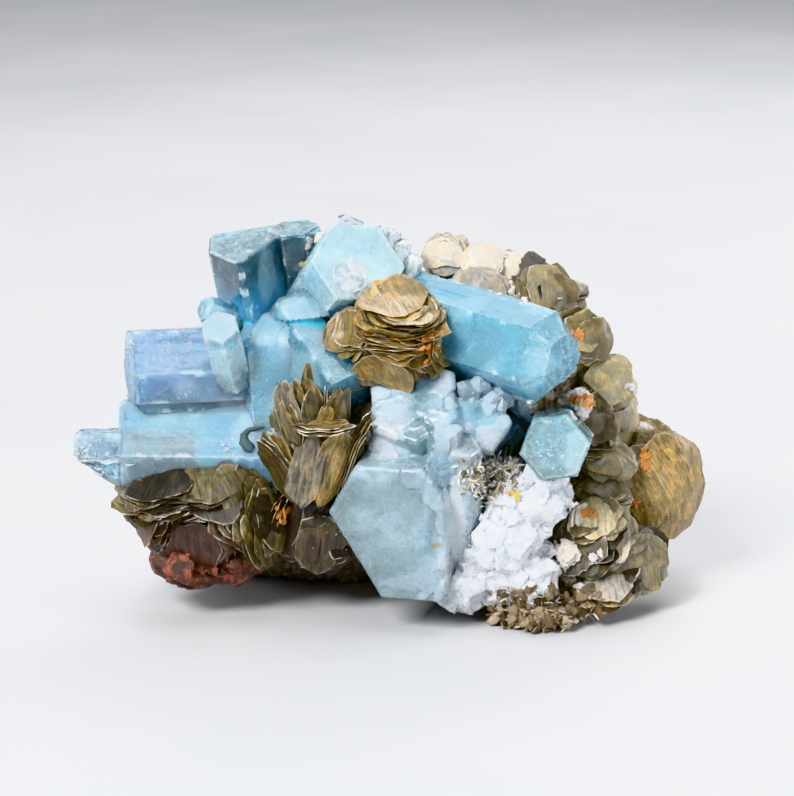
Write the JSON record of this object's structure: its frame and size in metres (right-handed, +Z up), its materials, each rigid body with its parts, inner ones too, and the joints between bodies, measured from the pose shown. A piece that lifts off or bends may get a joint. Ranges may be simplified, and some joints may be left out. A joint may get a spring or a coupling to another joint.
{
  "type": "aquamarine crystal specimen",
  "caption": "Cabinet mineral specimen: blue aquamarine prisms and pale beryl with rosettes of muscovite mica on a feldspar matrix that rests on its broken base.",
  "frame": {"origin": "on the flat broken underside of the matrix, below the middle of the specimen", "axes": "+X to the right along the specimen's length, -Y towards the display side, +Z up"},
  "size_m": [0.1283, 0.0717, 0.0778],
  "materials": {
    "aquamarine": "glassy, partly frosted",
    "pale_beryl": "icy, frosted",
    "white_quartz": "granular, translucent",
    "muscovite": "pearly sheets",
    "red_feldspar": "broken, iron stained",
    "white_albite": "sugary",
    "matrix": "rough broken rock"
  },
  "bodies": {
    "root": {"aquamarine_left_cluster": "aquamarine", "aquamarine_right_crystal": "aquamarine", "aquamarine_top_crystal": "aquamarine", "aquamarine_small_crystal": "aquamarine", "aquamarine_back_crystal": "aquamarine", "quartz_blade": "white_quartz", "pale_beryl_mass": "pale_beryl", "white_quartz_mass": "white_quartz", "mica_centre_rosette": "muscovite", "mica_left_fan": "muscovite", "mica_lower_left_rosette": "muscovite", "mica_lower_blades": "muscovite", "mica_top_books": "muscovite", "mica_top_right_books": "muscovite", "mica_right_books": "muscovite", "mica_right_shell": "muscovite", "mica_lower_right_curl": "muscovite", "mica_back_left_rosette": "muscovite", "mica_back_right_rosette": "muscovite", "mica_back_top_rosette": "muscovite", "red_feldspar": "red_feldspar", "albite_behind_tower": "white_albite", "albite_right": "white_albite", "albite_low_right": "white_albite", "albite_pocket": "white_albite", "matrix_rock": "matrix"}
  },
  "joints": []
}
